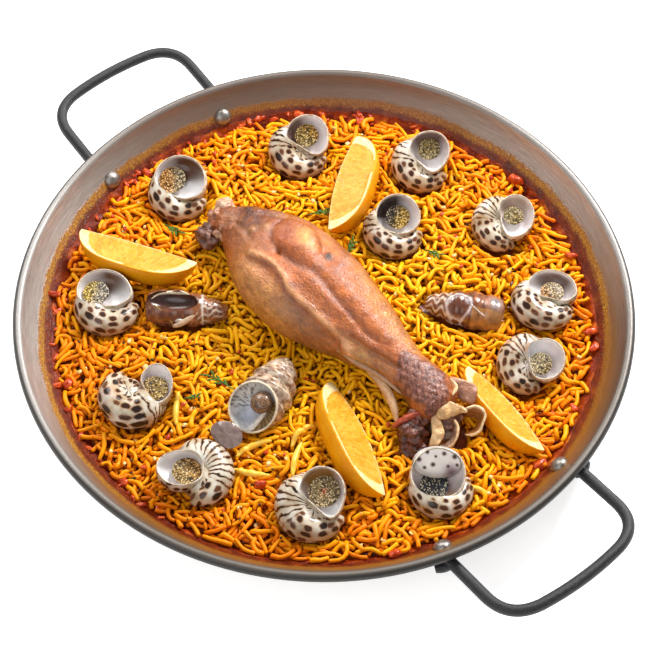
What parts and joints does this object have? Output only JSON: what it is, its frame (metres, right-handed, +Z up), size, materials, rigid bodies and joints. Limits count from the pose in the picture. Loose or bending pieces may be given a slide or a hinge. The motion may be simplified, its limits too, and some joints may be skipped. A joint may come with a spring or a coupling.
{
  "type": "noodle paella in its pan",
  "caption": "Noodle paella served in a round two-handled steel pan, topped with a roast shank, spotted sea snails and lemon wedges.",
  "frame": {"origin": "middle of the pan's flat base, on the surface it rests on", "axes": "+X runs through the middles of both handles, from handle_2 to handle_1; +Z is up out of the pan; +Y completes the right-handed frame, with the knuckle end of the shank towards -X"},
  "size_m": [0.5056, 0.4, 0.0695],
  "materials": {
    "steel_pan": "brushed carbon steel, stained near the food",
    "black_handle": "rough black paint",
    "rivet": "bare domed steel",
    "noodles": "short golden noodles, slightly oily",
    "spotted_shell": "glossy cream shell with brown spots",
    "dark_shell": "glossy brown shell with pale streaks",
    "lemon": "waxy rind, moist flesh",
    "meat": "browned moist skin"
  },
  "bodies": {
    "root": {"pan": "steel_pan", "handle_1": "black_handle", "handle_2": "black_handle", "rivet_1": "rivet", "rivet_2": "rivet", "rivet_3": "rivet", "rivet_4": "rivet", "noodle_bed": "noodles", "shank": "meat", "snail_01": "spotted_shell", "snail_02": "spotted_shell", "snail_03": "spotted_shell", "snail_04": "spotted_shell", "snail_05": "spotted_shell", "snail_06": "spotted_shell", "snail_07": "spotted_shell", "snail_08": "spotted_shell", "snail_09": "spotted_shell", "snail_10": "spotted_shell", "snail_11": "spotted_shell", "snail_12": "spotted_shell", "snail_13": "spotted_shell", "snail_14": "dark_shell", "snail_15": "dark_shell", "lemon_wedge_1": "lemon", "lemon_wedge_2": "lemon", "lemon_wedge_3": "lemon", "lemon_wedge_4": "lemon"}
  },
  "joints": []
}
